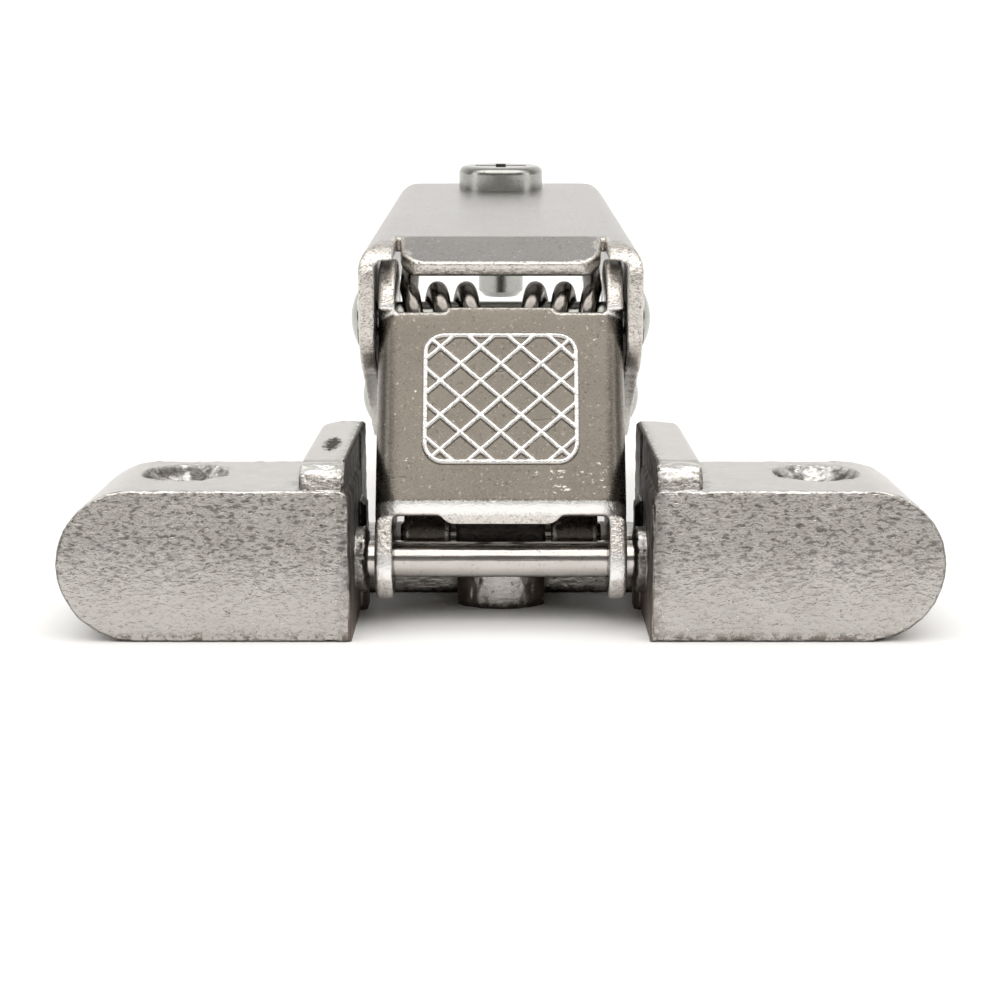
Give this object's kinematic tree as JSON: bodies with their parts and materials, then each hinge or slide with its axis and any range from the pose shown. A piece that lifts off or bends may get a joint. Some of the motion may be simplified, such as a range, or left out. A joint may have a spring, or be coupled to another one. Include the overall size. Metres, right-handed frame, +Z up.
{
  "type": "concealed hinge",
  "caption": "Concealed cabinet hinge with a screw-on die-cast body, folded links, a folded arm with a fixing screw and a torsion spring.",
  "frame": {"origin": "on the base, midway between the two lug screw holes", "axes": "+X across the hinge from lug to lug, +Y from the door's edge towards the arm's rear end, +Z up from the door, out of the base"},
  "size_m": [0.0704, 0.0757, 0.036],
  "materials": {
    "cast_nickel": "nickel-plated casting with a fine grain",
    "plated_sheet": "nickel-plated pressed sheet, satin to bright",
    "bright_pin": "bright nickel",
    "spring_wire": "drawn spring wire, plated",
    "screw_steel": "zinc plated"
  },
  "bodies": {
    "casting": {"hinge_body": "cast_nickel", "front_cup_pin": "bright_pin", "rear_cup_pin": "bright_pin"},
    "outer_link": {"outer_link": "plated_sheet"},
    "inner_link": {"inner_link": "plated_sheet"},
    "arm": {"arm": "plated_sheet", "front_arm_rivet": "bright_pin", "rear_arm_rivet": "bright_pin", "spring": "spring_wire", "fixing_screw": "screw_steel", "clamp_nut": "screw_steel"}
  },
  "joints": [
    {"name": "front_pivot", "type": "hinge", "parent": "casting", "child": "outer_link", "pos_m": [0, -0.0015, 0.0053], "axis": [1, 0, 0], "range_deg": [0, 112.5]},
    {"name": "arm_pivot", "type": "hinge", "parent": "outer_link", "child": "arm", "pos_m": [0, 0.008, 0.02419], "axis": [1, 0, 0], "range_deg": [-24.75, 0], "deforming": ["spring"]},
    {"name": "rear_pivot", "type": "hinge", "parent": "casting", "child": "inner_link", "pos_m": [0, 0.0025, 0.0065], "axis": [1, 0, 0], "range_deg": [0, 117.9]}
  ],
  "couplings": [
    {"joint": "arm_pivot", "follows": "front_pivot", "ratio": -0.22},
    {"joint": "rear_pivot", "follows": "front_pivot", "ratio": 1.048}
  ]
}
